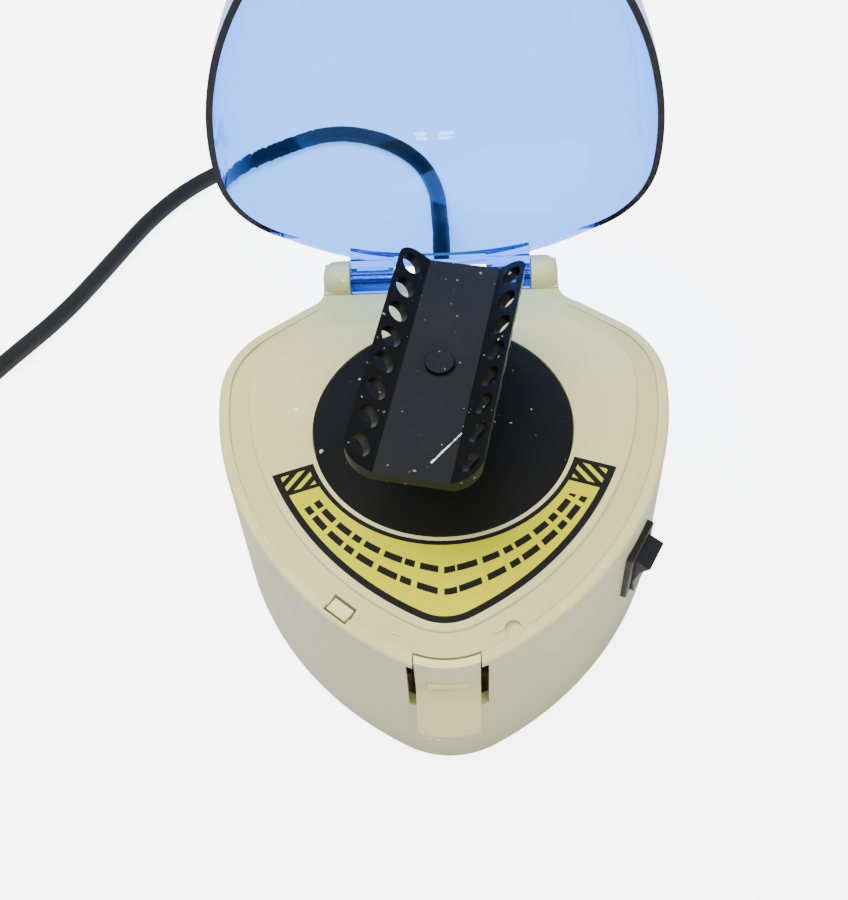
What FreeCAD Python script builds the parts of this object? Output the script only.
"""Personal mini centrifuge for strips of eight small tubes, lid open.

Millimetres. +Z is up, -Y is the front with the latch, and +X is the side with the switch.
The pieces are drawn about the rotor's axis, on the table, and written with the origin
on the table under the middle of the open machine, which is MIDDLE_Y further back.
"""

import FreeCAD
import Part
import math
import os

from FreeCAD import Matrix, Placement, Rotation, Vector

# ---------------------------------------------------------------- driving dimensions
# Base outline: a rounded triangle made of arcs that run into each other
SIDE_R = 100.0
SIDE_CENTRE = (34.0, 17.5)
FRONT_Y = -74.2
CORNER_R = 27.5
CORNER_TURN = 54.0
HOLLOW_R = 10.0
BACK_Y = 70.0
BACK_HALF = 37.3
BACK_R = 5.0

# From the rotor's axis back to the middle of the open machine
MIDDLE_Y = 22.323

# Clearance between separate moulded pieces
GAP = 0.3

# Heights
FOOT_Z = 1.2
COVER_T = 2.5
RIM_Z = 57.0
DECK_Z = 60.0
BACK_DECK_Z = 53.5
SLOPE_Y = 38.5
WALL = 2.6
WALL_FLARE = 1.2
DECK_T = 2.6
DECK_UNDER = 53.2
WELL_Z = 58.0
HINGE_RECESS_Y = 56.8
RECESS_Z = 47.5

# Top deck: lip, sloped band that the lid rests over, and raised plateau
LIP = 3.1
BAND_DROP = 0.9
PLATEAU_INSET = 9.4
PLATEAU_EDGE_R = 0.9
PLATEAU_BACK_Y = 50.0
LIP_EDGE_R = 1.2
NOTCH_XY = (17.3, -63.2)
NOTCH_R = 2.4
LABEL_IN_R = 38.4
LABEL_END = -18.8
LABEL_MARGIN = 2.3
LABEL_T = 0.15

# Splash disc and its well
DISC_R = 36.9
WELL_GAP = 0.3
COLLAR_R = 8.0
COLLAR_H = 1.6
SHAFT_HOLE_R = 5.0

# Lid
HINGE_Y = 63.0
HINGE_Z = 54.0
LID_INSET = 0.8
LID_CORNER = (36.6, 21.0)
LID_WALL = 2.0
LID_RIM_Z = 57.4
LID_TOP_Z = 117.0
LID_BACK_Y = 57.5
LID_POWER = 2.5
LID_OPEN = 90.0
PAD_HALF = 3.6
PAD_DEPTH = (-2.6, 1.5)
PAD_H = 6.0
LUG_R = 6.0
LUG_IN = 28.7
LUG_OUT = 37.3
KNUCKLE_IN = 14.7
KNUCKLE_OUT = 28.3
KNUCKLE_R = 4.6
HINGE_PIN_R = 1.5
RUN_GAP = 0.05

# Rotor for two strips of eight tubes
PITCH = 9.0
TUBES = 8
ROW_X = 14.0
TUBE_R = 3.1
ROTOR_L = 74.0
ROTOR_T = 3.0
PLATE_TOP = 87.0
FOLD_X = 9.9
FLANK_TILT = 40.0
FLANK_EDGE_X = 17.6
FLANK_CORNER_R = 4.5
ROTOR_TURN = 11.9
BOSS_R = 4.0
BOSS_H = 1.3
ROTOR_HUB_R = 8.5
ROTOR_HUB_Z = 64.0
DRIVE_R = 5.0
DRIVE_Z = 62.4
DRIVE_TOP = 80.0
O_RING_R = 0.9
O_RING_Z = 74.0

# Motor
SHAFT_R = 1.59
CAN_R = 18.0
CAN_Z = (9.0, 44.4)
CAN_WALL = 1.6
PLATE_TOP_Z = 45.9
PLATE_T = 1.5
POST_R = 3.5
POST_RING = 27.0
MOTOR_SCREW_X = 12.0
BEARING_R = 3.5
CAN_BOSS_R = 6.0
ARMATURE_R = 11.4
CORE_Z = (21.0, 37.0)
COMMUTATOR_R = 3.6
COMMUTATOR_Z = (14.2, 18.0)

# Rocker switch on the right wall
SWITCH_ANGLE = -29.6
SWITCH_Z = 37.0
BEZEL = (15.0, 21.5, 2.0)
WINDOW = (10.4, 18.6)
ROCKER_TILT = 12.0
ROCKER_W = 9.8
ROCKER_PIN_R = 1.0
ROCKER_PIVOT = -2.0

# Latch in the nose
LATCH_HALF = 8.5
SLOT_W = 2.1
LATCH_PIVOT = (-66.4, 41.0)
LATCH_PIN_R = 1.0
LATCH_TOP = 56.4
LATCH_SILL_Z = 33.0
SLOT_TOP_Z = 55.5
TAB_LOW_Z = 28.5
LATCH_BACK_R = 22.4
LATCH_IN_R = 23.0
LATCH_OUT_R = 25.2
TAB_ROOT_R = 27.5
TAB_TIP_R = 32.8
TAB_CORNER_R = 3.2

# Lid interlock
PLUNGER_XY = (-27.5, -56.4)
PLUNGER_TURN = -39.6
PLUNGER = (6.4, 3.8)
PLUNGER_TOP = 57.1
PLUNGER_GAP = 0.6
LID_SWITCH_Z = (33.0, 39.5)
SWITCH_BUTTON_TOP = 41.6

# Electrics under the deck
BOARD_Z = 12.0
BOARD_POSTS = [(-21.0, 45.0), (21.0, 45.0)]
TRAFO_Y = -40.0
TRAFO_Z = 5.0
TRAFO_FOOT_X = 24.5
TRAFO_HALF = 19.0
TRAFO_H = 31.0
TRAFO_BASE_T = 1.2
BOARD_T = 1.6
INLET_R = 5.8

# Mains lead
CORD_R = 3.25
CORD_EXIT = (0.0, 102.0, 18.0)
COIL_CENTRE = (-215.0, 68.0)
COIL_IN = 31.0
COIL_OUT = 41.4
COIL_LAYERS = 4
COIL_LIFT = 1.2
COIL_ENTRY = -32.0
LAYER_RISE = 6.5
TAIL_Z = COIL_LIFT + CORD_R + 3 * LAYER_RISE
TAIL_L = 62.0
PLUG_X = -258.5
PLUG_Z = 11.5
BLADE_PITCH = 12.7

os.makedirs("parts", exist_ok=True)
X = Vector(1, 0, 0)
Y = Vector(0, 1, 0)
Z = Vector(0, 0, 1)


# ---------------------------------------------------------------- small helpers
def save(name, *shapes):
    """Writes one node, moved so that the origin is under the middle of the open machine."""
    shape = shapes[0].copy() if len(shapes) == 1 else Part.makeCompound(list(shapes))
    shape.translate(Vector(0, -MIDDLE_Y, 0))
    shape.exportStep(f"parts/{name}.step")


def box(x, y, z):
    """A block between two values on each axis."""
    return Part.makeBox(x[1] - x[0], y[1] - y[0], z[1] - z[0], Vector(x[0], y[0], z[0]))


def rod(radius, start, end):
    """A round bar from one point to another."""
    start = Vector(*start)
    way = Vector(*end) - start
    return Part.makeCylinder(radius, way.Length, start, way)


def ring(outer, inner, z, centre=(0.0, 0.0)):
    """A flat ring between two heights."""
    x, y = centre
    return rod(outer, (x, y, z[0]), (x, y, z[1])).cut(rod(inner, (x, y, z[0]), (x, y, z[1])))


def fused(first, *others):
    """Several shapes as one, with no seams left between their flat faces."""
    return first.fuse(list(others)).removeSplitter()


def both_sides(shape):
    """A shape and its mirror image on the other side of the middle."""
    return [shape, shape.mirror(Vector(0, 0, 0), X)]


def moved(shape, place):
    """A copy of a shape at a placement."""
    copy = shape.copy()
    copy.Placement = place.multiply(copy.Placement)
    return copy


def prism(points, normal_axis, low, high):
    """A straight-sided solid: points are on the two other axes, in X, Y, Z order."""
    places = {
        "x": lambda a, b: Vector(low, a, b),
        "y": lambda a, b: Vector(a, low, b),
        "z": lambda a, b: Vector(a, b, low),
    }
    ways = {"x": X, "y": Y, "z": Z}
    corners = [places[normal_axis](a, b) for a, b in points]
    face = Part.Face(Part.makePolygon(corners + corners[:1]))
    return face.extrude(ways[normal_axis] * (high - low))


def rounded(shape, radius, chosen):
    """Rounds the edges that a test picks out."""
    edges = [e for e in shape.Edges if chosen(e)]
    return shape.makeFillet(radius, edges) if edges else shape


def at_height(edge, z, slack=0.01):
    """Does an edge lie flat at this height?"""
    b = edge.BoundBox
    return abs(b.ZMin - z) < slack and abs(b.ZMax - z) < slack


# ---------------------------------------------------------------- outline of the base
FRONT_REACH = SIDE_CENTRE[1] - FRONT_Y
NOSE_R = (SIDE_R**2 - SIDE_CENTRE[0] ** 2 - FRONT_REACH**2) / (2 * (SIDE_R - FRONT_REACH))
NOSE_Y = FRONT_Y + NOSE_R
CORNER = (SIDE_R - SIDE_CENTRE[0] - CORNER_R, SIDE_CENTRE[1])


def arc_point(centre, radius, degrees, z):
    """A point on a circle that lies flat."""
    a = math.radians(degrees)
    return Vector(centre[0] + radius * math.cos(a), centre[1] + radius * math.sin(a), z)


def flat_arc(centre, radius, start, end, z):
    """An arc that lies flat, between two angles."""
    middle = 0.5 * (start + end)
    return Part.Arc(*(arc_point(centre, radius, a, z) for a in (start, middle, end))).toShape()


def side_angle():
    """The angle at which the side arc runs into the nose arc."""
    return math.degrees(math.atan2(NOSE_Y - SIDE_CENTRE[1], SIDE_CENTRE[0]))


def right_half(inset, z, corner_end):
    """Nose, side and back corner of the right half, set in from the outside."""
    join = side_angle()
    side = (-SIDE_CENTRE[0], SIDE_CENTRE[1])
    return [
        flat_arc((0, NOSE_Y), NOSE_R - inset, -90, join, z),
        flat_arc(side, SIDE_R - inset, join, 0, z),
        flat_arc(CORNER, CORNER_R - inset, 0, corner_end, z),
    ]


def mirrored_wire(edges):
    """Closes a right half with its mirror image."""
    left = [e.mirror(Vector(0, 0, 0), X) for e in edges]
    return Part.Wire(Part.__sortEdges__(edges + left))


def pick_wire(inset, z, back_y):
    """Closed outline whose back is one wide arc through the given depth."""
    corner_r = CORNER_R - inset
    drop = back_y - CORNER[1]
    back_r = (CORNER[0] ** 2 + drop**2 - corner_r**2) / (2 * (drop - corner_r))
    centre_y = back_y - back_r
    meet = math.degrees(math.atan2(CORNER[1] - centre_y, CORNER[0]))
    edges = right_half(inset, z, meet)
    edges.append(flat_arc((0, centre_y), back_r, meet, 90, z))
    return mirrored_wire(edges)


def lid_wire(inset, z, back_y):
    """Closed outline of the lid: the housing's nose and sides, with wider back corners."""
    join = side_angle()
    side = (-SIDE_CENTRE[0], SIDE_CENTRE[1])
    across = LID_CORNER[0] - side[0]
    along = LID_CORNER[1] - side[1]
    corner_r = SIDE_R - inset - math.hypot(across, along)
    leave = math.degrees(math.atan2(along, across))
    drop = back_y - LID_CORNER[1]
    back_r = (LID_CORNER[0] ** 2 + drop**2 - corner_r**2) / (2 * (drop - corner_r))
    centre_y = back_y - back_r
    meet = math.degrees(math.atan2(LID_CORNER[1] - centre_y, LID_CORNER[0]))
    edges = [
        flat_arc((0, NOSE_Y), NOSE_R - inset, -90, join, z),
        flat_arc(side, SIDE_R - inset, join, leave, z),
        flat_arc(LID_CORNER, corner_r, leave, meet, z),
        flat_arc((0, centre_y), back_r, meet, 90, z),
    ]
    return mirrored_wire(edges)


def base_wire(inset, z):
    """Closed outline of the housing, with the square hinge block at the back."""
    edges = right_half(inset, z, CORNER_TURN)
    leave = arc_point(CORNER, CORNER_R - inset, CORNER_TURN, z)
    half = BACK_HALF - inset
    back = BACK_Y - inset
    hollow = HOLLOW_R + inset
    turn = math.radians(CORNER_TURN)
    way = Vector(-math.sin(turn), math.cos(turn), 0)
    bend = leave + way * ((half - leave.x) / way.x)
    reach = hollow * math.tan(turn / 2)
    start = bend - way * reach
    stop = bend + Y * reach
    middle = arc_point((half + hollow, stop.y), hollow, 180 + CORNER_TURN / 2, z)
    edges.append(Part.LineSegment(leave, start).toShape())
    edges.append(Part.Arc(start, middle, stop).toShape())
    edges.append(Part.LineSegment(stop, Vector(half, back, z)).toShape())
    edges.append(Part.LineSegment(Vector(half, back, z), Vector(0, back, z)).toShape())
    return mirrored_wire(edges)


def slab(wire, height):
    """Pulls a flat outline upwards."""
    return Part.Face(wire).extrude(Z * height)


# ---------------------------------------------------------------- frames on the walls
def wall_frame(z, depth=0.0):
    """A placement on the right wall at the switch: X along the wall, Y up, Z outwards."""
    a = math.radians(SWITCH_ANGLE)
    out = Vector(math.cos(a), math.sin(a), 0)
    along = Vector(-math.sin(a), math.cos(a), 0)
    at = Vector(-SIDE_CENTRE[0], SIDE_CENTRE[1], z) + out * (SIDE_R + depth)
    turn = Matrix(along.x, 0, out.x, at.x, along.y, 0, out.y, at.y, 0, 1, 0, at.z, 0, 0, 0, 1)
    return Placement(turn)


def plunger_place(z):
    """A placement over the interlock opening, turned along the lip."""
    return Placement(Vector(PLUNGER_XY[0], PLUNGER_XY[1], z), Rotation(Z, PLUNGER_TURN))


def post_places():
    """Where the four posts that carry the motor hang from the deck."""
    return [arc_point((0, 0), POST_RING, a, 0) for a in (45, 135, 225, 315)]


COVER_SCREWS = [(46.0, 24.0), (-46.0, 24.0), (12.0, -61.0), (-12.0, -61.0)]
FEET = [(50.0, 8.0), (-50.0, 8.0), (31.5, -41.0), (-31.5, -41.0)]


# ---------------------------------------------------------------- housing
def deck_solid():
    """Outer block of the housing: walls, lip, sloped band and raised plateau."""
    # the walls widen a little towards the table, except the upright back
    block = Part.makeLoft([base_wire(-WALL_FLARE, FOOT_Z), base_wire(0, RIM_Z)], True, True)
    block = block.common(box((-90, 90), (-90, BACK_Y), (0, RIM_Z)))
    block = rounded(block, BACK_R, lambda e: e.BoundBox.ZLength > 50 and e.BoundBox.YMin > BACK_Y - 0.1)
    block = rounded(block, LIP_EDGE_R, lambda e: at_height(e, RIM_Z))
    block = block.cut(slab(base_wire(LIP, RIM_Z - BAND_DROP), 10))
    # the band rises from inside the lip to the plateau's edge
    edge_z = DECK_Z - PLATEAU_EDGE_R
    low = pick_wire(LIP, RIM_Z - BAND_DROP, BACK_Y - 10.0)
    high = pick_wire(PLATEAU_INSET, edge_z, PLATEAU_BACK_Y)
    band = Part.makeLoft([low, high], True, True)
    top = slab(pick_wire(PLATEAU_INSET, edge_z, PLATEAU_BACK_Y), PLATEAU_EDGE_R)
    top = rounded(top, 0.9 * PLATEAU_EDGE_R, lambda e: at_height(e, DECK_Z))
    return fused(block, band, top)


def slope_cut(lift):
    """What lies above the deck's fall towards the hinge, or that much over it."""
    foot_y = HINGE_Y - LUG_R
    points = [(SLOPE_Y, DECK_Z + lift), (foot_y, BACK_DECK_Z + lift), (120, BACK_DECK_Z + lift)]
    points += [(120, 200), (SLOPE_Y, 200)]
    return prism(points, "x", -90, 90)


def hinge_lugs():
    """Two rounded ears that hold the hinge pins, on the back corners of the block."""
    ear = rod(LUG_R, (LUG_IN, HINGE_Y, HINGE_Z), (LUG_OUT, HINGE_Y, HINGE_Z))
    ear = rounded(ear, 4.2, lambda e: e.BoundBox.XMin > LUG_OUT - 0.1)
    root = box((LUG_IN, BACK_HALF), (HINGE_Y - LUG_R, BACK_Y), (40, HINGE_Z))
    return both_sides(ear.fuse(root))


def housing_cavity():
    """The hollow under the deck, clear of the hinge recess."""
    low = slab(base_wire(WALL, FOOT_Z - 1), DECK_UNDER - FOOT_Z + 1)
    low = low.cut(box((-90, 90), (SLOPE_Y - 2, 90), (BACK_DECK_Z - DECK_T, 90)))
    low = low.cut(box((-LUG_IN - WALL, LUG_IN + WALL), (HINGE_RECESS_Y - WALL, 90), (RECESS_Z - WALL, 90)))
    low = low.cut(box((-BACK_HALF, BACK_HALF), (HINGE_Y - LUG_R - 1, 90), (RECESS_Z - WALL, 90)))
    under_plateau = pick_wire(PLATEAU_INSET + DECK_T, DECK_UNDER - 1, SLOPE_Y - 2)
    high = slab(under_plateau, DECK_Z - DECK_T - DECK_UNDER + 1)
    well = rod(DISC_R + DECK_T, (0, 0, WELL_Z - DECK_T), (0, 0, DECK_Z))
    return low.fuse(high.cut(well))


def latch_opening():
    """The gap in the nose that the latch works in."""
    half = LATCH_HALF + SLOT_W
    reach = LATCH_HALF + GAP
    slots = box((-half, half), (-90, NOSE_Y - 15), (LATCH_SILL_Z, SLOT_TOP_Z))
    gap = slots.fuse(box((-reach, reach), (-90, NOSE_Y - 15), (LATCH_SILL_Z, 90)))
    return gap.cut(rod(LATCH_BACK_R, (0, NOSE_Y, LATCH_SILL_Z - 1), (0, NOSE_Y, 91)))


def latch_ears():
    """Ribs behind the nose that hold the latch pin's ends."""
    y, z = LATCH_PIVOT
    half = LATCH_HALF + SLOT_W
    ear = box((half + 0.3, half + 2.8), (y - 3.4, y + 3.0), (z - 4.0, z + 4.0))
    return both_sides(ear.cut(rod(LATCH_PIN_R, (half, y, z), (half + 4, y, z))))


def screw_bosses():
    """Pillars that the bottom cover's screws go into."""
    bosses = []
    for x, y in COVER_SCREWS:
        pillar = rod(3.4, (x, y, FOOT_Z + COVER_T + 0.1), (x, y, DECK_Z - DECK_T + 0.3))
        bosses.append(pillar.cut(rod(1.25, (x, y, 0), (x, y, 16))))
    return bosses


def motor_posts():
    """Four posts under the deck that the motor plate hangs from."""
    posts = []
    for p in post_places():
        post = rod(POST_R, (p.x, p.y, PLATE_TOP_Z + 2.5), (p.x, p.y, WELL_Z - 1))
        posts.append(post.cut(rod(1.25, (p.x, p.y, 0), (p.x, p.y, WELL_Z - 2.2))))
    return posts


def interlock_rib():
    """A rib behind the lip that the lid switch is screwed to."""
    rib = box((-8, 8), (5.7, 7.9), (31, DECK_UNDER + 0.5))
    for x in (-3.2, 3.2):
        rib = rib.cut(rod(0.8, (x, 5, 36.2), (x, 8.5, 36.2)))
    return moved(rib, plunger_place(0))


def upper_housing():
    """The cream housing: one moulding with the deck, the walls and the hinge ears."""
    shell = deck_solid()
    crease = shell.cut(slope_cut(0))
    shell = fused(crease, *hinge_lugs())
    recess = box((-LUG_IN, LUG_IN), (HINGE_RECESS_Y, 90), (RECESS_Z, 90))
    bore_end = LUG_OUT - 2.5
    recess = recess.fuse(rod(HINGE_PIN_R, (-bore_end, HINGE_Y, HINGE_Z), (bore_end, HINGE_Y, HINGE_Z)))
    well = rod(DISC_R + WELL_GAP, (0, 0, WELL_Z), (0, 0, 70))
    shell = shell.cut(housing_cavity()).cut(recess).cut(well)
    shell = shell.cut(rod(11.0, (0, 0, 40), (0, 0, 70)))
    shell = shell.cut(latch_opening())
    shell = fused(shell, *latch_ears(), *screw_bosses(), *motor_posts(), interlock_rib())
    wide, deep = (size / 2 + PLUNGER_GAP for size in PLUNGER)
    slot = box((-wide, wide), (-deep, deep), (50, 70))
    shell = shell.cut(moved(slot, plunger_place(0)))
    cut_out = box((-6.5, 6.5), (-9.8, 9.8), (-12, 6))
    shell = shell.cut(moved(cut_out, wall_frame(SWITCH_Z)))
    across, tall = (size / 2 + GAP / 2 for size in BEZEL[:2])
    seat = box((-across, across), (-tall, tall), (0, 6))
    shell = shell.cut(moved(seat, wall_frame(SWITCH_Z)))
    x, y, z = CORD_EXIT
    shell = shell.cut(rod(INLET_R, (x, BACK_Y - 6, z), (x, BACK_Y + 2, z)))
    # half-round notch in the band at the front right, and the knife-edge vents at the back
    nx, ny = NOTCH_XY
    shell = shell.cut(rod(NOTCH_R, (nx, ny, RIM_Z - BAND_DROP), (nx, ny, 70)))
    for i in range(5):
        vent_x = -20 + 10 * i
        if abs(vent_x) > 8:
            shell = shell.cut(box((vent_x - 1.0, vent_x + 1.0), (BACK_Y - 5, BACK_Y + 2), (14, 32)))
    return shell


def bottom_cover():
    """The flat plate that closes the housing from below."""
    plate = slab(base_wire(WALL + 0.4, FOOT_Z), COVER_T)
    for x, y in COVER_SCREWS:
        plate = plate.cut(rod(1.7, (x, y, 0), (x, y, 6)))
        plate = plate.cut(rod(3.1, (x, y, 0), (x, y, FOOT_Z + 1.5)))
    for x, y in FEET:
        plate = plate.cut(rod(2.0, (x, y, 0), (x, y, 6)))
    for i in range(6):
        vent_y = -12.5 + 5 * i
        plate = plate.cut(box((-12, 12), (vent_y - 1, vent_y + 1), (0, 6)))
    pillars = []
    for x, y in BOARD_POSTS:
        pillars.append(ring(3.0, 1.0, (FOOT_Z + COVER_T - 0.2, BOARD_Z), (x, y)))
    for x in (-TRAFO_FOOT_X, TRAFO_FOOT_X):
        pillars.append(ring(3.0, 1.0, (FOOT_Z + COVER_T - 0.2, TRAFO_Z), (x, TRAFO_Y)))
    return fused(plate, *pillars)


def rubber_feet():
    """Four round rubber feet with stems pushed into the cover."""
    feet = []
    for x, y in FEET:
        pad = rounded(rod(6.0, (x, y, 0), (x, y, FOOT_Z)), 0.4, lambda e: at_height(e, 0))
        feet.append(fused(pad, rod(2.0, (x, y, FOOT_Z), (x, y, FOOT_Z + COVER_T + 0.6))))
    return feet


def screw(x, y, z, length, shank, head_r, head_h, up=True):
    """A round-headed screw: the head's outer face is at z, and the shank goes up or down."""
    s = 1 if up else -1
    head = rod(head_r, (x, y, z), (x, y, z + s * head_h))
    head = head.cut(rod(0.5 * head_r, (x, y, z), (x, y, z + s * 0.6 * head_h)))
    return fused(head, rod(shank, (x, y, z + s * head_h), (x, y, z + s * length)))


def housing_screws():
    """Four screws up through the cover."""
    return [screw(x, y, FOOT_Z + 0.1, 13.0, 1.25, 2.8, 1.4) for x, y in COVER_SCREWS]


def splash_disc():
    """The black disc under the rotor, with a low collar round the shaft."""
    disc = ring(DISC_R, SHAFT_HOLE_R, (WELL_Z, DECK_Z - 0.05))
    disc = rounded(disc, 0.4, lambda e: at_height(e, DECK_Z - 0.05) and e.BoundBox.XMax > 30)
    skirt = ring(10.7, 9.2, (WELL_Z - 3, WELL_Z + 0.5))
    collar = ring(COLLAR_R, SHAFT_HOLE_R, (DECK_Z - 0.5, DECK_Z + COLLAR_H))
    return fused(disc, skirt, collar)


def hazard_label():
    """The thin label in front of the disc, with its ends cut along two lines from the shaft."""
    outer = slab(pick_wire(PLATEAU_INSET + LABEL_MARGIN, DECK_Z, PLATEAU_BACK_Y), LABEL_T)
    sheet = outer.cut(rod(LABEL_IN_R, (0, 0, DECK_Z - 1), (0, 0, DECK_Z + 1)))
    a = math.radians(LABEL_END)
    far = 90.0
    wedge = [(0, 0), (far * math.cos(a), far * math.sin(a)), (far, -far), (-far, -far)]
    wedge.append((-far * math.cos(a), far * math.sin(a)))
    return sheet.common(prism(wedge, "z", DECK_Z - 1, DECK_Z + 1))


save("upper_housing", upper_housing())
save("bottom_cover", bottom_cover())
save("rubber_feet", *rubber_feet())
save("housing_screws", *housing_screws())
save("splash_disc", splash_disc())
save("hazard_label", hazard_label())


# ---------------------------------------------------------------- lid
def dome(inset, back_y, low_z, rim_z, top_z):
    """A closed dome over the lid outline: sections that shrink along a rounded curve."""
    height = top_z - rim_z
    sections = [lid_wire(inset, low_z, back_y), lid_wire(inset, rim_z, back_y)]
    skirt = slab(sections[0], rim_z - low_z)
    wires = [sections[1]]
    for h in (0.2, 0.4, 0.58, 0.74, 0.87, 0.95, 0.99):
        size = (1 - h**LID_POWER) ** (1 / LID_POWER)
        grow = Matrix()
        grow.scale(size, size, 1)
        wires.append(lid_wire(inset, 0, back_y).transformGeometry(grow))
        wires[-1].translate(Z * (rim_z + h * height))
    cap = Part.makeLoft(wires, True, False)
    return skirt.fuse(cap)


def closed_lid():
    """The blue lid as it sits when shut, with its hinge knuckles."""
    low = BACK_DECK_Z - 2
    outer = dome(LID_INSET, LID_BACK_Y, low, LID_RIM_Z + 3, LID_TOP_Z)
    inner = dome(LID_INSET + LID_WALL, LID_BACK_Y - LID_WALL, low - 1, LID_RIM_Z + 3, LID_TOP_Z - LID_WALL)
    shell = outer.cut(inner)
    # the rim is flat in front and follows the deck's fall at the back
    under = box((-90, 90), (-90, 90), (0, LID_RIM_Z))
    keep = slope_cut(0.5).common(box((-90, 90), (SLOPE_Y, 120), (0, 70)))
    shell = shell.cut(under.cut(keep))
    barrel = rod(KNUCKLE_R, (KNUCKLE_IN, HINGE_Y, HINGE_Z), (KNUCKLE_OUT, HINGE_Y, HINGE_Z))
    arm = box((KNUCKLE_IN, KNUCKLE_OUT), (LID_BACK_Y - 2.4, HINGE_Y), (HINGE_Z + 0.4, HINGE_Z + KNUCKLE_R))
    knuckle = barrel.fuse(arm)
    for y in (-1.5, 1.5):
        across = (KNUCKLE_IN + 2, KNUCKLE_OUT - 1.5)
        groove = box(across, (HINGE_Y + y - 0.4, HINGE_Y + y + 0.4), (HINGE_Z + 3.6, 70))
        knuckle = knuckle.cut(groove)
    knuckle = knuckle.cut(rod(HINGE_PIN_R + RUN_GAP, (0, HINGE_Y, HINGE_Z), (50, HINGE_Y, HINGE_Z)))
    across = (-KNUCKLE_OUT, KNUCKLE_OUT)
    flange = box(across, (LID_BACK_Y - 4.0, LID_BACK_Y + 1.6), (HINGE_Z + 1.2, HINGE_Z + KNUCKLE_R))
    inside = dome(LID_INSET + LID_WALL, LID_BACK_Y - LID_WALL, low - 1, LID_RIM_Z + 3, LID_TOP_Z - LID_WALL)
    # a pad inside the rim presses the interlock plunger
    pad = box((-PAD_HALF, PAD_HALF), PAD_DEPTH, (LID_RIM_Z, LID_RIM_Z + PAD_H))
    shell = shell.fuse(moved(pad, plunger_place(0)).common(outer))
    return fused(shell, *[p.cut(inside) for p in [*both_sides(knuckle), flange]])


def lid_dome():
    """The lid swung open about its hinge."""
    lid = closed_lid()
    lid.rotate(Vector(0, HINGE_Y, HINGE_Z), X, -LID_OPEN)
    return lid


def hinge_pins():
    """Two short steel pins, pressed into the ears."""
    start, end = KNUCKLE_IN + 0.5, LUG_OUT - 2.6
    return both_sides(rod(HINGE_PIN_R, (start, HINGE_Y, HINGE_Z), (end, HINGE_Y, HINGE_Z)))


save("lid_dome", lid_dome())
save("hinge_pins", *hinge_pins())


# ---------------------------------------------------------------- rotor and drive hub
def flank():
    """One raised side of the rotor, with eight tube holes and rounded outer corners."""
    slope = (FLANK_EDGE_X + ROTOR_T - FOLD_X) / math.cos(math.radians(FLANK_TILT))
    tuck = ROTOR_T * math.tan(math.radians(FLANK_TILT / 2))
    plate = box((-tuck, slope), (-ROTOR_L / 2, ROTOR_L / 2), (-ROTOR_T, 0))
    row = (ROW_X - FOLD_X) / math.cos(math.radians(FLANK_TILT))
    for i in range(TUBES):
        y = (i - (TUBES - 1) / 2) * PITCH
        plate = plate.cut(rod(TUBE_R, (row, y, -ROTOR_T - 1), (row, y, 1)))
    plate = moved(plate, Placement(Vector(FOLD_X, 0, PLATE_TOP), Rotation(Y, -FLANK_TILT)))
    # the side is cut upright, with its two corners rounded
    plan = box((0, FLANK_EDGE_X), (-ROTOR_L / 2, ROTOR_L / 2), (PLATE_TOP - 10, PLATE_TOP + 20))
    far = FLANK_EDGE_X - 0.01
    plan = rounded(plan, FLANK_CORNER_R, lambda e: e.BoundBox.XMin > far and e.BoundBox.ZLength > 2)
    return plate.common(plan)


def strip_rotor():
    """The black rotor: a flat middle, two raised sides and a boss that fits the drive hub."""
    reach = FOLD_X + ROTOR_T * math.tan(math.radians(FLANK_TILT / 2))
    low = PLATE_TOP - ROTOR_T
    middle = prism(
        [(-FOLD_X, PLATE_TOP), (FOLD_X, PLATE_TOP), (reach, low), (-reach, low)],
        "y",
        -ROTOR_L / 2,
        ROTOR_L / 2,
    )
    boss = rod(ROTOR_HUB_R, (0, 0, ROTOR_HUB_Z), (0, 0, low + 0.5))
    button = rod(BOSS_R, (0, 0, PLATE_TOP - 0.5), (0, 0, PLATE_TOP + BOSS_H))
    button = rounded(button, 0.3, lambda e: at_height(e, PLATE_TOP + BOSS_H))
    ribs = []
    for side in (-1, 1):
        rib = [(0, ROTOR_HUB_Z + 6), (0, low + 0.3), (side * 30, low + 0.3), (side * 30, low - 2)]
        ribs.append(prism(rib, "x", -1.2, 1.2))
    body = fused(middle, *both_sides(flank()), boss, button, *ribs)
    body = body.cut(rod(DRIVE_R, (0, 0, 50), (0, 0, DRIVE_TOP + 0.4)))
    return body.cut(groove_ring(DRIVE_R - 0.1))


def groove_ring(radius):
    """The ring-shaped space of the drive hub's rubber ring."""
    return Part.makeTorus(radius, O_RING_R, Vector(0, 0, O_RING_Z), Z)


def drive_hub():
    """The hub pressed on the motor's shaft, with a groove for its rubber ring."""
    hub = ring(DRIVE_R, SHAFT_R, (DRIVE_Z, DRIVE_TOP))
    flange = ring(DRIVE_R + 2.6, SHAFT_R, (DRIVE_Z, DRIVE_Z + 1.2))
    return fused(hub, flange).cut(groove_ring(DRIVE_R - 0.1))


def motor_shaft():
    """The steel shaft through both bearings, from the end cap to the drive hub."""
    return rod(SHAFT_R, (0, 0, CAN_Z[0] + 0.8), (0, 0, DRIVE_TOP))


def armature():
    """The laminated core, slotted for its windings."""
    core = ring(ARMATURE_R, SHAFT_R, (CORE_Z[0], CORE_Z[1]))
    for i in range(5):
        a = math.radians(72 * i)
        slot = box((4.5, 20), (-1.4, 1.4), (CORE_Z[0] - 1, CORE_Z[1] + 1))
        core = core.cut(moved(slot, Placement(Vector(), Rotation(Z, math.degrees(a)))))
    return core


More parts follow.
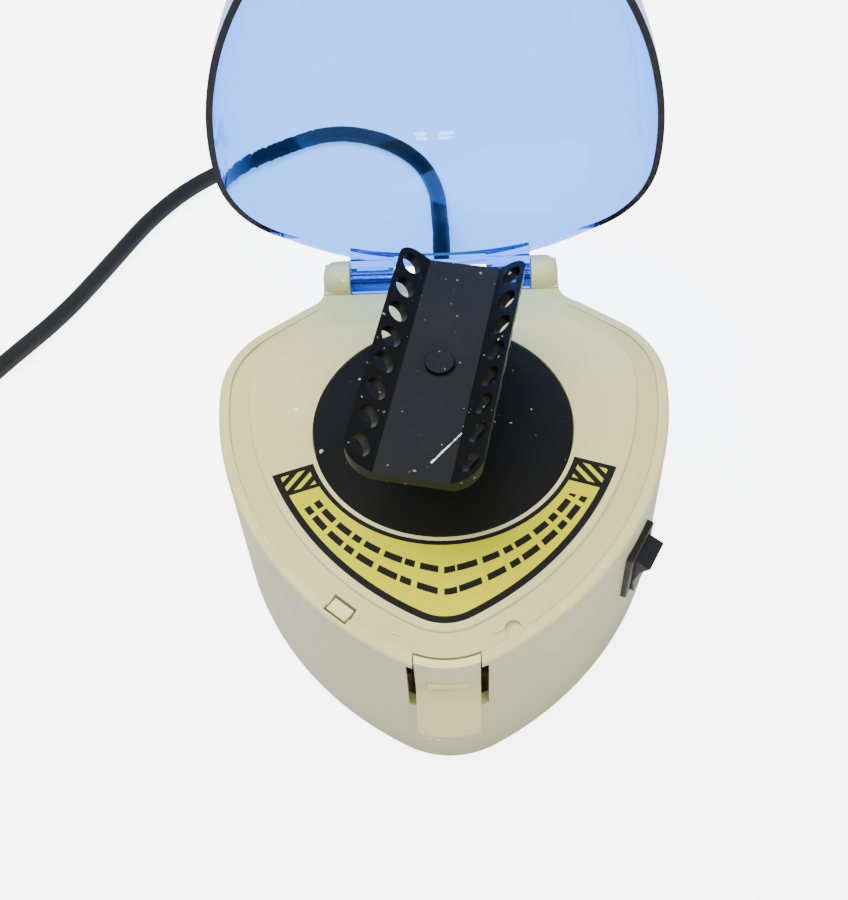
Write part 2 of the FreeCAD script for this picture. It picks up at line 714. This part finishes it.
def windings():
    """The copper end turns above and below the core, joined through its slots."""
    turns = [ring(9.6, 3.4, (CORE_Z[0] - 2.6, CORE_Z[0])), ring(9.6, 3.4, (CORE_Z[1], CORE_Z[1] + 3.2))]
    for i in range(5):
        wire = box((5.0, 9.4), (-1.1, 1.1), (CORE_Z[0] - 0.5, CORE_Z[1] + 0.5))
        turns.append(moved(wire, Placement(Vector(), Rotation(Z, 72 * i))))
    return fused(turns[0], *turns[1:])


def commutator():
    """The copper ring that the brushes press on, slit into segments."""
    copper = ring(COMMUTATOR_R, SHAFT_R, COMMUTATOR_Z)
    for i in range(5):
        slit = box((2.4, 8), (-0.15, 0.15), (0, 30))
        copper = copper.cut(moved(slit, Placement(Vector(), Rotation(Z, 72 * i + 36))))
    return copper


def turned(shape):
    """A piece of the rotor at the angle where the rotor stands."""
    return moved(shape, Placement(Vector(), Rotation(Z, -ROTOR_TURN)))


save("strip_rotor", turned(strip_rotor()))
save("drive_hub", drive_hub())
save("hub_ring", groove_ring(DRIVE_R - 0.1))
save("motor_shaft", motor_shaft())
save("armature_core", turned(armature()))
save("armature_windings", turned(windings()))
save("commutator", turned(commutator()))


# ---------------------------------------------------------------- motor and its mounting
def motor_can():
    """The drawn steel can with its front bearing boss."""
    low, high = CAN_Z
    wall = ring(CAN_R, CAN_R - CAN_WALL, (low, high))
    top = ring(CAN_R, BEARING_R, (high - CAN_WALL, high))
    boss = ring(CAN_BOSS_R, BEARING_R, (high - CAN_WALL, high + 3.0))
    can = fused(wall, top, boss)
    can = rounded(can, 1.0, lambda e: at_height(e, high) and e.BoundBox.XMax > CAN_R - 0.1)
    for x in (-MOTOR_SCREW_X, MOTOR_SCREW_X):
        can = can.cut(rod(1.2, (x, 0, high - 3), (x, 0, high + 1)))
    return can


def motor_magnets():
    """Two curved magnets glued inside the can."""
    shell = ring(CAN_R - CAN_WALL, CAN_R - CAN_WALL - 3.6, (CORE_Z[0] - 1, CORE_Z[1] + 1))
    arc = shell.common(box((0, 40), (-11, 11), (0, 60)))
    return both_sides(arc)


def motor_end_cap():
    """The plastic cap that closes the can and holds the brushes and the rear bearing."""
    low = CAN_Z[0]
    cap = ring(CAN_R - CAN_WALL, 2.4, (low, low + 2.0))
    boss = ring(5.2, 2.4, (low + 1.0, low + 4.8))
    cap = fused(cap, boss).cut(rod(BEARING_R, (0, 0, low + 0.8), (0, 0, low + 4.8)))
    return cap


def motor_bearings():
    """Two plain bronze bearings."""
    low, high = CAN_Z
    bore = SHAFT_R + RUN_GAP
    return [ring(BEARING_R, bore, (low + 0.8, low + 4.8)), ring(BEARING_R, bore, (high - 2.0, high + 3.0))]


def motor_brushes():
    """Two carbon brushes in brass boxes, either side of the commutator."""
    low, high = COMMUTATOR_Z
    carbon = box((COMMUTATOR_R + 0.15, COMMUTATOR_R + 5.2), (-1.6, 1.6), (low + 0.3, high - 0.3))
    holder = box((COMMUTATOR_R + 1.6, COMMUTATOR_R + 6.0), (-2.1, 2.1), (CAN_Z[0] + 2.0, high + 0.2))
    return both_sides(carbon.fuse(holder).removeSplitter())


def motor_terminals():
    """Two tinned tabs under the cap."""
    return both_sides(box((9.6, 10.4), (-1.4, 1.4), (CAN_Z[0] - 4.4, CAN_Z[0])))


def motor_plate():
    """The steel plate that carries the motor from four soft mounts."""
    z = (PLATE_TOP_Z - PLATE_T, PLATE_TOP_Z)
    plate = ring(POST_RING + 6.0, CAN_BOSS_R + 0.2, z)
    for x in (-MOTOR_SCREW_X, MOTOR_SCREW_X):
        plate = plate.cut(rod(1.6, (x, 0, 40), (x, 0, 50)))
    for p in post_places():
        plate = plate.cut(rod(3.0, (p.x, p.y, 40), (p.x, p.y, 50)))
    plate = plate.cut(box((-40, 40), (24, 40), (40, 50)))
    return plate.cut(box((-40, 40), (-40, -24), (40, 50)))


def plate_isolators():
    """Four rubber grommets in the plate's holes."""
    pieces = []
    for p in post_places():
        centre = (p.x, p.y)
        low, high = PLATE_TOP_Z - PLATE_T, PLATE_TOP_Z
        sleeve = ring(3.0, 1.6, (low - 2.4, high + 2.4), centre)
        rims = [ring(4.6, 1.6, (low - 2.4, low), centre), ring(4.6, 1.6, (high, high + 2.4), centre)]
        pieces.append(fused(sleeve, *rims))
    return pieces


def plate_screws():
    """Four screws up through the grommets into the posts."""
    z = PLATE_TOP_Z - PLATE_T - 2.5 - 1.8
    return [screw(p.x, p.y, z, 14.0, 1.25, 3.4, 1.8) for p in post_places()]


def motor_screws():
    """Two screws down through the plate into the can."""
    top = PLATE_TOP_Z + 1.6
    return [screw(x, 0, top, 5.0, 1.2, 2.4, 1.6, up=False) for x in (-MOTOR_SCREW_X, MOTOR_SCREW_X)]


save("motor_can", motor_can())
save("motor_magnets", *motor_magnets())
save("motor_end_cap", motor_end_cap())
save("motor_bearings", *motor_bearings())
save("motor_brushes", *motor_brushes())
save("motor_terminals", *motor_terminals())
save("motor_plate", motor_plate())
save("plate_isolators", *plate_isolators())
save("plate_screws", *plate_screws())
save("motor_screws", *motor_screws())


# ---------------------------------------------------------------- power supply
def transformer_core():
    """A laminated iron core with two windows."""
    x, z = TRAFO_HALF, TRAFO_Z + TRAFO_BASE_T
    top = z + TRAFO_H
    depth = (TRAFO_Y - 8.5, TRAFO_Y + 8.5)
    core = box((-x, x), depth, (z, top))
    for side in (-1, 1):
        gap = (5.4, x - 5.4) if side > 0 else (5.4 - x, -5.4)
        core = core.cut(box(gap, (TRAFO_Y - 10, TRAFO_Y + 10), (z + 5.4, top - 5.4)))
    return core


def transformer_coil():
    """The taped winding round the middle leg."""
    z, top = TRAFO_Z + TRAFO_BASE_T + 5.6, TRAFO_Z + TRAFO_BASE_T + TRAFO_H - 5.6
    x = TRAFO_HALF - 5.7
    coil = box((-x, x), (TRAFO_Y - 13.5, TRAFO_Y + 13.5), (z, top))
    coil = rounded(coil, 2.5, lambda e: e.BoundBox.ZLength > 5)
    return coil.cut(box((-5.5, 5.5), (TRAFO_Y - 8.7, TRAFO_Y + 8.7), (z - 1, top + 1)))


def transformer_frame():
    """The bent steel strap with two feet that holds the core down."""
    z = TRAFO_Z
    foot = TRAFO_FOOT_X + 4.0
    base = box((-foot, foot), (TRAFO_Y - 7, TRAFO_Y + 7), (z, z + TRAFO_BASE_T))
    for x in (-TRAFO_FOOT_X, TRAFO_FOOT_X):
        base = base.cut(rod(1.7, (x, TRAFO_Y, 0), (x, TRAFO_Y, 20)))
    depth = (TRAFO_Y - 7, TRAFO_Y + 7)
    side = box((TRAFO_HALF, TRAFO_HALF + 1.0), depth, (z, z + TRAFO_BASE_T + TRAFO_H + 1))
    top_z = z + TRAFO_BASE_T + TRAFO_H
    lid = box((-TRAFO_HALF - 1, TRAFO_HALF + 1), (TRAFO_Y - 7, TRAFO_Y + 7), (top_z, top_z + 1.0))
    return fused(base, *both_sides(side), lid)


def transformer_screws():
    """Two screws down through the feet into the cover's pillars."""
    top = TRAFO_Z + TRAFO_BASE_T + 1.6
    return [screw(x, TRAFO_Y, top, 4.0, 1.0, 2.4, 1.6, up=False) for x in (-TRAFO_FOOT_X, TRAFO_FOOT_X)]


def rectifier_board():
    """The circuit board on its two pillars."""
    board = box((-26, 26), (35, 55), (BOARD_Z, BOARD_Z + BOARD_T))
    for x, y in BOARD_POSTS:
        board = board.cut(rod(1.3, (x, y, 0), (x, y, 30)))
    return board


def board_diodes():
    """Four rectifier diodes with their bent legs."""
    pieces = []
    top = BOARD_Z + BOARD_T
    for i in range(4):
        x = -15.0 + 4.4 * i
        body = rod(1.3, (x, 38.5, top + 1.5), (x, 43.5, top + 1.5))
        legs = [box((x - 0.35, x + 0.35), (y, y + 0.7), (top, top + 1.5)) for y in (37.8, 43.5)]
        pieces.append(fused(body, *legs))
    return pieces


def smoothing_capacitor():
    """The round smoothing capacitor."""
    top = BOARD_Z + BOARD_T
    can = rod(6.3, (9.0, 41.5, top), (9.0, 41.5, top + 20))
    return rounded(can, 0.8, lambda e: at_height(e, top + 20))


def board_fuse():
    """A glass fuse between two clips."""
    top = BOARD_Z + BOARD_T
    glass = rod(2.5, (-12, 51.0, top + 3.6), (8, 51.0, top + 3.6))
    clips = [box((x, x + 4), (48.1, 53.9), (top, top + 1.6)) for x in (-11, 3)]
    return fused(glass, *clips)


def board_screws():
    """Two screws that hold the board."""
    top = BOARD_Z + BOARD_T + 1.5
    return [screw(x, y, top, 6.0, 1.0, 2.2, 1.5, up=False) for x, y in BOARD_POSTS]


save("transformer_core", transformer_core())
save("transformer_coil", transformer_coil())
save("transformer_frame", transformer_frame())
save("transformer_screws", *transformer_screws())
save("rectifier_board", rectifier_board())
save("board_diodes", *board_diodes())
save("smoothing_capacitor", smoothing_capacitor())
save("board_fuse", board_fuse())
save("board_screws", *board_screws())


# ---------------------------------------------------------------- rocker switch
def switch_body():
    """Black body and bezel of the rocker switch, as built on the wall."""
    w, h, t = BEZEL
    bezel = box((-w / 2, w / 2), (-h / 2, h / 2), (0, t))
    bezel = rounded(bezel, 1.0, lambda e: e.BoundBox.ZLength > t - 0.1)
    bezel = rounded(bezel, 0.6, lambda e: at_height(e, t))
    neck = box((-6.3, 6.3), (-9.6, 9.6), (-17, 0.5))
    body = fused(bezel, neck)
    body = body.cut(box((-WINDOW[0] / 2, WINDOW[0] / 2), (-WINDOW[1] / 2, WINDOW[1] / 2), (-9, 5)))
    return body.cut(rod(ROCKER_PIN_R + RUN_GAP, (-6.25, 0, ROCKER_PIVOT), (6.25, 0, ROCKER_PIVOT)))


def rocker():
    """The rocker about its pivot, with a hollow face and two raised ends."""
    half = ROCKER_W / 2
    upper = [(7.6, 7.0), (3.4, 5.4), (-3.4, 5.4), (-7.6, 7.0)]
    points = upper + [(-8.3, 1.0), (-7.4, -2.4), (7.4, -2.4), (8.3, 1.0)]
    block = prism(points, "x", -half, half)
    block = rounded(block, 0.4, lambda e: e.BoundBox.XLength < 0.01 and e.BoundBox.ZMin > 5.0)
    block = fused(block, rod(ROCKER_PIN_R, (-6.1, 0, 0), (6.1, 0, 0)))
    tilt = Placement(Vector(0, 0, ROCKER_PIVOT), Rotation(X, ROCKER_TILT))
    return moved(block, tilt)


def switch_terminals():
    """Three flat tabs on the back of the switch."""
    return [box((-2.4, 2.4), (y - 0.4, y + 0.4), (-24, -17)) for y in (-6.0, 0.0, 6.0)]


save("switch_body", moved(switch_body(), wall_frame(SWITCH_Z)))
save("rocker", moved(rocker(), wall_frame(SWITCH_Z)))
save("switch_terminals", *[moved(t, wall_frame(SWITCH_Z)) for t in switch_terminals()])


# ---------------------------------------------------------------- latch
def latch():
    """The latch: a curved plate with a thumb tab, rocking on a pin behind the nose."""
    r = [(LATCH_IN_R, LATCH_TOP), (LATCH_OUT_R, LATCH_TOP), (LATCH_OUT_R, 42.0), (TAB_ROOT_R - 0.5, 39.4)]
    r += [(TAB_TIP_R, TAB_LOW_Z + 1), (TAB_TIP_R - 1.4, TAB_LOW_Z), (TAB_ROOT_R, 35.2)]
    r += [(LATCH_OUT_R, 36.6), (LATCH_IN_R, 38.2)]
    corners = [Vector(0, NOSE_Y - radius, z) for radius, z in r]
    face = Part.Face(Part.makePolygon(corners + corners[:1]))
    swept = face.revolve(Vector(0, NOSE_Y, 0), Z, 50)
    swept.rotate(Vector(0, NOSE_Y, 0), Z, -25)
    outline = box((-LATCH_HALF, LATCH_HALF), (-95, -60), (TAB_LOW_Z, 60))
    outline = rounded(outline, TAB_CORNER_R, lambda e: e.BoundBox.YLength > 10 and at_height(e, TAB_LOW_Z))
    plate = swept.common(outline)
    y, z = LATCH_PIVOT
    boss = rod(2.6, (-6.5, y, z), (6.5, y, z))
    web = box((-6.5, 6.5), (NOSE_Y - 23.6, y), (z - 1.6, z + 1.6))
    ridge = box((-5.2, 5.2), (FRONT_Y + 0.2, FRONT_Y + 2.0), (44.8, 46.2))
    ridge = rounded(ridge, 0.5, lambda e: e.BoundBox.XLength > 5 and e.BoundBox.YMax < FRONT_Y + 0.3)
    lever = fused(plate, boss, web, ridge)
    return lever.cut(rod(LATCH_PIN_R + RUN_GAP, (-20, y, z), (20, y, z)))


def latch_pin():
    """The steel pin of the latch."""
    y, z = LATCH_PIVOT
    half = LATCH_HALF + SLOT_W + 2.7
    return rod(LATCH_PIN_R, (-half, y, z), (half, y, z))


def latch_spring():
    """A small spring wound round the pin, its legs against the deck."""
    y, z = LATCH_PIVOT
    coil = rod(2.2, (6.8, y, z), (8.5, y, z)).cut(rod(1.3, (6, y, z), (11, y, z)))
    leg = box((7.9, 8.5), (y + 1.6, y + 7.0), (z + 1.0, z + 1.6))
    return coil.fuse(leg)


save("latch", latch())
save("latch_pin", latch_pin())
save("latch_spring", latch_spring())


# ---------------------------------------------------------------- lid interlock
def interlock_plunger():
    """The small block in the lip that the lid pushes down, with its stem and flange."""
    w, d = PLUNGER
    head = box((-w / 2, w / 2), (-d / 2, d / 2), (DECK_UNDER + 0.6, PLUNGER_TOP))
    head = rounded(head, 0.3, lambda e: at_height(e, PLUNGER_TOP))
    flange = box((-w / 2 - 1.2, w / 2 + 1.2), (-0.6, d / 2 + 1.4), (49.5, 51.0))
    stem = box((-2.0, 2.0), (-0.6, 1.7), (SWITCH_BUTTON_TOP + 0.3, DECK_UNDER + 1.0))
    return fused(head, flange, stem)


def lid_switch_body():
    """The small snap switch under the plunger."""
    low, high = LID_SWITCH_Z
    body = box((-6.4, 6.4), (-0.6, 5.4), (low, high))
    body = body.cut(box((-1.6, 1.6), (-0.2, 2.2), (high - 2.4, high + 1)))
    for x in (-3.2, 3.2):
        body = body.cut(rod(1.05, (x, -2, 36.2), (x, 7, 36.2)))
    return body


def lid_switch_screws():
    """Two long screws through the switch into its rib."""
    pieces = []
    for x in (-3.2, 3.2):
        shank = rod(0.8, (x, -0.7, 36.2), (x, 7.6, 36.2))
        head = rod(1.5, (x, -1.1, 36.2), (x, -0.61, 36.2))
        pieces.append(fused(head, shank))
    return pieces


def lid_switch_button():
    """The switch's own button."""
    return box((-1.5, 1.5), (-0.1, 2.1), (LID_SWITCH_Z[1] - 0.4, SWITCH_BUTTON_TOP))


def lid_switch_terminals():
    """Three tabs under the snap switch."""
    low = LID_SWITCH_Z[0]
    return [box((x - 0.3, x + 0.3), (1.2, 3.6), (low - 3.5, low)) for x in (-5.0, 0.0, 5.0)]


save("interlock_plunger", moved(interlock_plunger(), plunger_place(0)))
save("lid_switch_body", moved(lid_switch_body(), plunger_place(0)))
save("lid_switch_screws", *[moved(p, plunger_place(0)) for p in lid_switch_screws()])
save("lid_switch_button", moved(lid_switch_button(), plunger_place(0)))
save("lid_switch_terminals", *[moved(p, plunger_place(0)) for p in lid_switch_terminals()])


# ---------------------------------------------------------------- mains lead
def smooth_path(points):
    """Straight runs joined by arcs as large as the runs allow; returns the wire and the radii."""
    p = [Vector(*q) for q in points]
    edges = []
    radii = []
    at = p[0]
    for before, corner, after in zip(p, p[1:], p[2:]):
        back, on = (before - corner), (after - corner)
        turn = math.pi - back.getAngle(on)
        reach = 0.45 * min(back.Length, on.Length)
        radius = reach / math.tan(turn / 2)
        start = corner + back.normalize() * reach
        stop = corner + on.normalize() * reach
        inwards = ((start + stop) * 0.5 - corner).normalize()
        middle = corner + inwards * (radius / math.cos(turn / 2) - radius)
        edges.append(Part.LineSegment(at, start).toShape())
        edges.append(Part.Arc(start, middle, stop).toShape())
        radii.append(round(radius, 1))
        at = stop
    edges.append(Part.LineSegment(at, p[-1]).toShape())
    return Part.Wire(edges), radii


def tube(points, radius):
    """A round cord along a route; prints its radii and compares its volume with its length."""
    path, radii = smooth_path(points)
    way = Vector(*points[1]) - Vector(*points[0])
    section = Part.Wire(Part.makeCircle(radius, Vector(*points[0]), way))
    solid = path.makePipeShell([section], True, True)
    full = math.pi * radius**2 * path.Length
    print("length", round(path.Length, 1), "radii", radii, "volume", round(solid.Volume / full, 4))
    return solid


def coil_point(angle, radius, z):
    """A point of the coil at an angle."""
    return arc_point(COIL_CENTRE, radius, angle, z)


LIE_Z = CORD_R + 0.05
ENTRY = coil_point(COIL_ENTRY, COIL_OUT, COIL_LIFT + CORD_R)
LEAVE = coil_point(180.0, COIL_OUT, TAIL_Z)
ROUTE = [
    CORD_EXIT,
    (0.0, 119.0, 18.0),
    (-0.8, 140.5, 5.8),
    (-1.5, 157.5, LIE_Z),
    (-8.0, 176.5, LIE_Z),
    (-24.5, 191.5, LIE_Z),
    (-46.0, 197.0, LIE_Z),
    (-68.0, 187.5, LIE_Z),
    (-97.0, 171.5, LIE_Z),
    (-115.5, 151.0, LIE_Z),
    (-130.5, 121.5, LIE_Z),
    (-143.5, 97.5, LIE_Z),
    (-160.0, 76.0, LIE_Z + 0.3),
    (ENTRY.x, ENTRY.y, ENTRY.z),
]
TAIL = [
    (LEAVE.x, LEAVE.y, LEAVE.z),
    (LEAVE.x - 0.4, LEAVE.y + 18.0, LEAVE.z - 1.0),
    (PLUG_X, LEAVE.y + 43.0, PLUG_Z),
    (PLUG_X, LEAVE.y + TAIL_L, PLUG_Z),
]


def cord_bushing():
    """The moulded strain relief, tapering from the back wall to the cord."""
    x, y, z = CORD_EXIT
    flange = rod(8.0, (x, BACK_Y, z), (x, BACK_Y + 2.2, z))
    neck = rod(INLET_R - 0.1, (x, BACK_Y - WALL - 0.2, z), (x, BACK_Y, z))
    inner = rod(7.4, (x, BACK_Y - WALL - 2.4, z), (x, BACK_Y - WALL - 0.1, z))
    taper = Part.makeCone(5.6, 4.1, y - BACK_Y - 2.0, Vector(x, BACK_Y + 2.0, z), Y)
    body = fused(flange, neck, inner, taper)
    for i in range(5):
        at = BACK_Y + 6.0 + 4.6 * i
        for side in (-1, 1):
            notch = box((x - 8, x + 8), (at, at + 1.6), (z + 3.5, z + 9) if side > 0 else (z - 9, z - 3.5))
            body = body.cut(notch)
    return body


def cord_coil():
    """The outer shape of the wound coil."""
    high = COIL_LIFT + (COIL_LAYERS - 1) * LAYER_RISE + 2 * CORD_R
    coil = ring(COIL_OUT + CORD_R + 0.3, COIL_IN - CORD_R - 0.3, (COIL_LIFT, high), COIL_CENTRE)
    return rounded(coil, 2.5, lambda e: at_height(e, high) or at_height(e, COIL_LIFT))


def cord_tie():
    """The strap round the coil."""
    inner, outer = COIL_IN - CORD_R - 0.3, COIL_OUT + CORD_R + 0.3
    high = COIL_LIFT + (COIL_LAYERS - 1) * LAYER_RISE + 2 * CORD_R
    gap, thick, half = 0.3, 0.75, 3.0
    x, y = COIL_CENTRE
    depth = (y + inner - gap - thick, y + outer + gap + thick + 0.2)
    loop = box((x - half, x + half), depth, (0.1, high + gap + thick))
    hole = box((x - 9, x + 9), (y + inner - gap, y + outer + gap + 0.2), (COIL_LIFT - gap, high + gap))
    return rounded(loop.cut(hole), 0.6, lambda e: e.BoundBox.XLength > 5 and e.BoundBox.ZMin > high)


def plug_body():
    """The moulded plug, lying on its side beside the coil."""
    y = LEAVE.y + TAIL_L
    neck = Part.makeCone(4.2, 5.4, 16.0, Vector(PLUG_X, y, PLUG_Z), Y)
    body = box((PLUG_X - 12, PLUG_X + 12), (y + 14, y + 40), (PLUG_Z - 11.4, PLUG_Z + 11.4))
    body = rounded(body, 6.0, lambda e: e.BoundBox.YLength > 20)
    body = rounded(body, 2.5, lambda e: e.BoundBox.YLength < 0.01 and e.BoundBox.YMin < y + 15)
    return fused(neck, body)


def plug_blades():
    """Two flat blades and a round earth pin."""
    y = LEAVE.y + TAIL_L + 40
    blades = []
    for x in (PLUG_X - BLADE_PITCH / 2, PLUG_X + BLADE_PITCH / 2):
        blades.append(box((x - 0.75, x + 0.75), (y, y + 17), (PLUG_Z, PLUG_Z + 6.3)))
    pin = rod(2.4, (PLUG_X, y, PLUG_Z - 5.5), (PLUG_X, y + 20, PLUG_Z - 5.5))
    pin = rounded(pin, 1.2, lambda e: e.BoundBox.YMin > y + 19)
    return [*blades, pin]


def inner_leads():
    """The lead's three cores inside the housing, and the two wires to the motor."""
    x, y, z = CORD_EXIT
    wall = BACK_Y - WALL - 2.4
    to_switch = [
        (x + 3.4, wall, z),
        (x + 3.4, wall - 4.0, z),
        (22.0, 60.2, 12.0),
        (29.5, 57.2, 9.5),
        (34.0, 43.0, 7.0),
        (43.0, 20.0, 7.0),
        (38.5, -4.0, 9.0),
    ]
    to_fuse = [
        (x - 3.4, wall, z + 1.0),
        (x - 3.4, wall - 3.0, z + 1.0),
        (-8.5, 58.4, 17.4),
        (-13.5, 57.0, 16.0),
    ]
    to_plate = [
        (x, wall, z + 3.5),
        (x, wall - 5.0, z + 3.5),
        (0.8, 40.0, 36.0),
        (1.5, 27.0, 40.5),
        (2.0, 20.0, 43.3),
    ]
    return [tube(core, 1.0) for core in (to_switch, to_fuse, to_plate)]


save("cord_bushing", cord_bushing())
save("power_cord", tube(ROUTE, CORD_R), tube(TAIL, CORD_R))
save("cord_coil", cord_coil())
save("cord_tie", cord_tie())
save("plug_body", plug_body())
save("plug_blades", *plug_blades())
save("inner_leads", *inner_leads())
